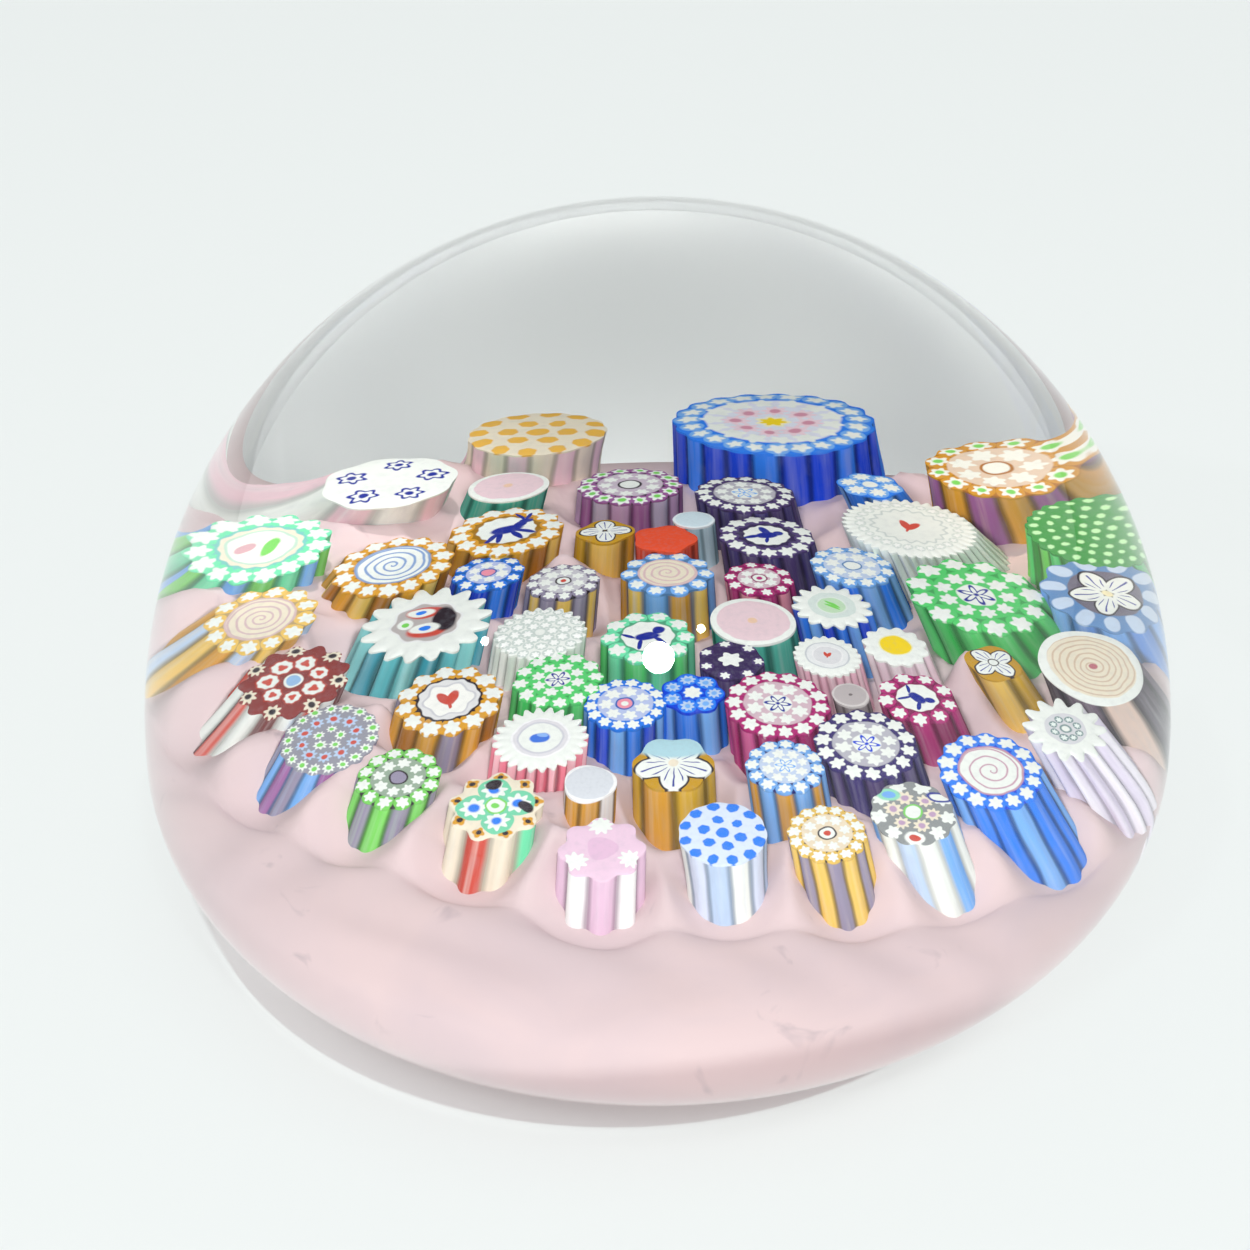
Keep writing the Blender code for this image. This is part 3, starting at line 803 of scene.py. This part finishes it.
# Cushion: opaque pale pink ground, gathered over the canes' feet while soft.
# It sinks to a pocket round each foot and is squeezed up between them, in
# places to a small lump. Thin ash-grey wisps are folded into it.
cushion_low, cushion_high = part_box("pink_cushion")
CUSHION_RADIUS = cushion_high.x
CUSHION_FOOT = cushion_low.z
CUSHION_BELLY = 0.0045   # height of its widest line
TUCK_START = 0.024       # radius where the underside begins to curve up
GROUND_LEVEL = 0.0114    # height of the ground in the middle
GROUND_FALL = 0.070      # slope down toward the right
BACK_FALL = 0.050        # slope down toward the back
BACK_TUCK = 0.055        # share by which the back is narrower
FRONT_RISE = 0.0016      # how much fuller the front is
RIDGE = 0.0026           # height squeezed up between canes
POCKET = 0.0009          # depth sunk round each cane
RIDGE_REACH = 0.0021     # how far from a cane a ridge and a pocket still show
POCKET_REACH = 0.0011
WAVE = 0.00018           # height of the shallow waves left by the tool
STUB_RISE = 0.0026       # lumps of ground pressed up through the gaps
STUB_SPREAD = 0.0013
STUBS = ((0.0147, 0.0036), (-0.0136, -0.0006), (-0.0042, 0.0102))


def ground_height(x, y, share):
    """Height of the pink ground: a flat middle, a rounded shoulder, ridges, pockets and stubs.

    The shoulder is the root of one less the share out to a power, squarer at the front. The
    gap to each cane is its distance less its radius. Ridges rise where the gaps to two canes
    are both small; a pocket sinks where the gap to one cane is nearly nothing.
    """
    feet = np.array(planted)
    gaps = np.hypot(x[..., None] - feet[:, 0], y[..., None] - feet[:, 1]) - feet[:, 2]
    gaps = np.maximum(gaps, 0.0)
    crowd = np.exp(-(gaps / RIDGE_REACH) ** 2).sum(axis=-1)
    touch = np.exp(-(gaps / POCKET_REACH) ** 2).max(axis=-1)
    level = GROUND_LEVEL - GROUND_FALL * x - BACK_FALL * np.maximum(y, 0.0)
    level = level + FRONT_RISE * np.clip(-y / CUSHION_RADIUS, 0.0, 1.0)
    square = 2.1 + 0.9 * np.clip(-y / np.hypot(x, y), 0.0, 1.0)
    shoulder = np.maximum(0.0, 1 - share ** square) ** (1 / square)
    height = CUSHION_BELLY + (level - CUSHION_BELLY) * shoulder
    rise = RIDGE * np.clip(crowd - 0.95, 0.0, 1.2) - POCKET * touch
    for stub_x, stub_y in STUBS:
        off = (x - stub_x) ** 2 + (y - stub_y) ** 2
        rise = rise + STUB_RISE * np.exp(-off / STUB_SPREAD ** 2)
    wave = WAVE * np.sin(x * 610 + 2 * np.sin(y * 340)) * np.sin(y * 520 + x * 150)
    return height + (rise + wave) * np.clip((1 - share) * 6, 0, 1)


turn = np.linspace(0.0, math.tau, 380, endpoint=False)
share = np.concatenate([np.linspace(0.01, 0.93, 88), 1 - 0.07 * np.linspace(1, 0, 12)[1:] ** 1.6])
slim = 1 - BACK_TUCK * np.maximum(np.sin(turn), 0.0)
ground_x = CUSHION_RADIUS * slim * share[:, None] * np.cos(turn)
ground_y = CUSHION_RADIUS * slim * share[:, None] * np.sin(turn)
ground_z = ground_height(ground_x, ground_y, np.repeat(share[:, None], turn.size, axis=1))
tuck = np.linspace(0.0, math.pi / 2, 15)[1:]
under_radius = np.append(TUCK_START + (CUSHION_RADIUS - TUCK_START) * np.cos(tuck),
                         [0.016, 0.006])
under_height = np.append(CUSHION_BELLY - (CUSHION_BELLY - CUSHION_FOOT) * np.sin(tuck),
                         [CUSHION_FOOT, CUSHION_FOOT])
under = turned_rings(under_radius, under_height, turn.size)
under[..., :2] *= slim[:, None]
ground = np.vstack([np.stack([ground_x, ground_y, ground_z], axis=-1), under])
cushion = round_piece("pink_ground", ground, [[0.0, 0.0, ground_z[0].mean()],
                                             [0.0, 0.0, CUSHION_FOOT]])

pink = bpy.data.materials.new("opaque pink ground glass")
pink.use_nodes = True
tree = pink.node_tree
place = tree.nodes.new("ShaderNodeTexCoord")


def clouds(scale, detail, distortion):
    """Soft clouds through the ground, in the cushion's own place."""
    cloud = tree.nodes.new("ShaderNodeTexNoise")
    cloud.inputs["Scale"].default_value = scale
    cloud.inputs["Detail"].default_value = detail
    cloud.inputs["Distortion"].default_value = distortion
    tree.links.new(place.outputs["Object"], cloud.inputs["Vector"])
    return cloud.outputs["Fac"]


def ramp(tree, value, low, low_colour, high, high_colour):
    """One colour up to the low value, another from the high value on, and a blend between."""
    blend = tree.nodes.new("ShaderNodeValToRGB")
    blend.color_ramp.elements[0].position = low
    blend.color_ramp.elements[0].color = (*low_colour, 1)
    blend.color_ramp.elements[1].position = high
    blend.color_ramp.elements[1].color = (*high_colour, 1)
    tree.links.new(value, blend.inputs["Fac"])
    return blend


tint = ramp(tree, clouds(95, 5, 0.6), 0.34, card(210, 190, 193), 0.66, card(220, 197, 197))
wisp = ramp(tree, clouds(210, 4, 1.4), 0.66, (0, 0, 0), 0.76, (0.5, 0.5, 0.5))
ashen = tree.nodes.new("ShaderNodeMix")
ashen.data_type = "RGBA"
ashen.inputs[7].default_value = (*card(150, 136, 146), 1)
tree.links.new(wisp.outputs["Color"], ashen.inputs["Factor"])
tree.links.new(tint.outputs["Color"], ashen.inputs[6])

# Painted shade on the underside: the ground's colour dims where it turns under, a millimetre below
# its widest line.
upright = tree.nodes.new("ShaderNodeSeparateXYZ")
tree.links.new(place.outputs["Object"], upright.inputs[0])
underside_shade = tree.nodes.new("ShaderNodeMapRange")
underside_shade.inputs["From Min"].default_value = CUSHION_BELLY - 0.001
underside_shade.inputs["From Max"].default_value = CUSHION_BELLY + 0.0045
underside_shade.inputs["To Min"].default_value = 0.68
tree.links.new(upright.outputs["Z"], underside_shade.inputs["Value"])
shaded_ground = tree.nodes.new("ShaderNodeVectorMath")
shaded_ground.operation = "SCALE"
tree.links.new(ashen.outputs[2], shaded_ground.inputs[0])
tree.links.new(underside_shade.outputs["Result"], shaded_ground.inputs["Scale"])
shader = tree.nodes["Principled BSDF"]
shader.inputs["Roughness"].default_value = 0.55
shader.inputs["Specular IOR Level"].default_value = 0.0
tree.links.new(shaded_ground.outputs[0], shader.inputs["Base Color"])
cushion.data.materials.append(pink)
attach(cushion, "root")
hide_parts("pink_cushion")

# Table and studio sky: a plain pale sheet of card, under a sky that is bright
# near the horizon and grey overhead, so the dome shows soft edges and no room.
table_mesh = bpy.data.meshes.new("table")
table_mesh.from_pydata([(-3, -3, 0), (3, -3, 0), (3, 3, 0), (-3, 3, 0)], [], [(0, 1, 2, 3)])
table = bpy.data.objects.new("table", table_mesh)
bpy.context.scene.collection.objects.link(table)
paper = bpy.data.materials.new("pale table")
paper.use_nodes = True
shader = paper.node_tree.nodes["Principled BSDF"]
shader.inputs["Base Color"].default_value = (0.84, 0.87, 0.855, 1.0)
shader.inputs["Roughness"].default_value = 0.9
shader.inputs["Specular IOR Level"].default_value = 0.1
table.data.materials.append(paper)

world = bpy.data.worlds.new("studio")
bpy.context.scene.world = world
world.use_nodes = True
sky = world.node_tree.nodes["Background"]
direction = world.node_tree.nodes.new("ShaderNodeTexCoord")
upward = world.node_tree.nodes.new("ShaderNodeSeparateXYZ")
world.node_tree.links.new(direction.outputs["Generated"], upward.inputs[0])
sweep = ramp(world.node_tree, upward.outputs["Z"], 0.10, (0.90, 0.94, 0.92), 0.62,
             (0.16, 0.17, 0.18))
sweep.color_ramp.interpolation = "EASE"
world.node_tree.links.new(sweep.outputs["Color"], sky.inputs["Color"])
sky.inputs["Strength"].default_value = 1.05

# Lamps: a broad one overhead, which leaves no glint, one main lamp in front
# and two small ones. Each is round, stands on a sphere about the weight, and
# is given by its bearing from the camera's side and its height, in degrees.


def hang_lamp(data, aim, out, glints):
    """Place a lamp at a step out from its aim and turn it to face the aim."""
    lamp = bpy.data.objects.new(data.name, data)
    lamp.location = aim + out
    lamp.rotation_mode = "QUATERNION"
    lamp.rotation_quaternion = (-out).to_track_quat("-Z", "Y")
    lamp.visible_glossy = glints
    bpy.context.scene.collection.objects.link(lamp)
    return lamp


def soft_lamp(name, bearing, height, distance, size, power, glints=True):
    """A round lamp, its size and distance in metres and its power in watts."""
    bearing, height = math.radians(bearing), math.radians(height)
    out = Vector((math.sin(bearing) * math.cos(height), -math.cos(bearing) * math.cos(height),
                  math.sin(height)))
    data = bpy.data.lights.new(name, "AREA")
    data.shape = "DISK"
    data.size = size
    data.energy = power
    hang_lamp(data, Vector((0.0, 0.0, GIRDLE_HEIGHT)), out * distance, glints)


soft_lamp("overhead", 0, 92, 1.6, 1.2, 6.2, glints=False)
soft_lamp("front", 0.7, 46, 2.6, 0.30, 46)
soft_lamp("left glint", -50, 40, 1.6, 0.05, 1.2)
soft_lamp("right glint", 15, 51, 1.6, 0.05, 1.2)

# Light gathered by the dome: bright patches behind its foot and at the back
# of the set-up. Narrow soft spots from above stand for them.
SPOT_STEP = Vector((0.0, 0.155, 0.480))


def gathered_light(name, aim, power, spread, colour, stretch=1.0):
    """A spot of the given spread in degrees, stretched sideways to an oval."""
    data = bpy.data.lights.new(name, "SPOT")
    data.energy = power
    data.color = colour
    data.spot_size = math.radians(spread)
    data.spot_blend = 1.0
    data.shadow_soft_size = 0.004
    hang_lamp(data, Vector(aim), SPOT_STEP, False).scale = (stretch, 1.0, 1.0)


gathered_light("patch behind the foot", (0.0, 0.0310, 0.0), 7.0, 0.72, (1.0, 1.0, 1.0), 2.6)
gathered_light("patch at the left", cane_stand("cane_blue_stars")[0] + (-0.005, 0, 0),
               9, 2.8, (1.0, 0.96, 0.97))
gathered_light("patch at the right", cane_stand("cane_amber_purple_stripes")[0] + (0.004, 0, 0),
               8, 2.4, (1.0, 0.78, 0.58))

# Shade of the glass: the dome bends the lamps' light aside and leaves soft half
# shade round its foot. Shells that only shade stand for that: one at the back
# of the dome, one low in front and a small one low at the back.
SHADE_SCALE = 0.97


def shade_shell(name, radius, height, start, end, shift, tint):
    """Part of a turned shell, from start to end in half turns, that dims light by its tint."""
    swing = np.linspace(start * math.pi, end * math.pi, 60)
    points = np.stack([radius[:, None] * np.cos(swing) + shift[0],
                       radius[:, None] * np.sin(swing) + shift[1],
                       np.repeat(height[:, None], swing.size, axis=1)], axis=-1)
    cells = np.arange(radius.size * swing.size).reshape(radius.size, swing.size)
    faces = np.stack([cells[:-1, :-1], cells[:-1, 1:], cells[1:, 1:], cells[1:, :-1]], axis=-1)
    mesh = bpy.data.meshes.new(name)
    mesh.from_pydata(points.reshape(-1, 3).tolist(), [], faces.reshape(-1, 4).tolist())
    shell = bpy.data.objects.new(name, mesh)
    bpy.context.scene.collection.objects.link(shell)
    veil = bpy.data.materials.new(name)
    veil.use_nodes = True
    tree = veil.node_tree
    tree.nodes.remove(tree.nodes["Principled BSDF"])
    through = tree.nodes.new("ShaderNodeBsdfTransparent")
    through.inputs["Color"].default_value = (*tint, 1.0)
    tree.links.new(through.outputs[0], tree.nodes["Material Output"].inputs["Surface"])
    mesh.materials.append(veil)
    for ray in ("camera", "diffuse", "glossy", "transmission", "volume_scatter"):
        setattr(shell, "visible_" + ray, False)


lift = np.linspace(0.04, math.pi / 2, 30)
shade_shell("glass_shade", SHADE_SCALE * GLASS_RADIUS * np.cos(lift),
            GIRDLE_HEIGHT + SHADE_SCALE * (GLASS_HEIGHT - GIRDLE_HEIGHT) * np.sin(lift),
            0, 1, (0, 0), (0.66, 0.66, 0.64))
foot_rise = np.linspace(0.001, GIRDLE_HEIGHT, 12)
foot_out = 0.0345 - 0.003 * (1 - foot_rise / GIRDLE_HEIGHT) ** 2
shade_shell("foot_shade", foot_out, foot_rise, 0.92, 2.08, (-0.0028, 0.0010), (0.56, 0.47, 0.48))
shade_shell("back_shade", foot_out, foot_rise, 0.38, 0.62, (0, 0), (0.40, 0.40, 0.385))

# Camera: looks down on the front of the weight from a little over its height.
CAMERA_HEIGHT_ANGLE = math.radians(36)
CAMERA_DISTANCE = 0.2625
camera_data = bpy.data.cameras.new("camera")
camera_data.sensor_width = 36
camera_data.lens = 102.4
camera_data.clip_start = 0.01
camera = bpy.data.objects.new("camera", camera_data)
girdle = Vector((0.0, 0.0, GIRDLE_HEIGHT))
back = Vector((0.0, -math.cos(CAMERA_HEIGHT_ANGLE), math.sin(CAMERA_HEIGHT_ANGLE)))
camera.location = girdle + back * CAMERA_DISTANCE
camera.rotation_mode = "QUATERNION"
look = (-back).to_track_quat("-Z", "Y")
roll = Quaternion((0, 0, 1), math.radians(-1.0))
aside = Quaternion((0, 1, 0), math.radians(0.516))
raised = Quaternion((1, 0, 0), math.radians(1.418))
camera.rotation_quaternion = look @ roll @ aside @ raised
bpy.context.scene.collection.objects.link(camera)
bpy.context.scene.camera = camera
bpy.context.scene.view_settings.view_transform = "Standard"
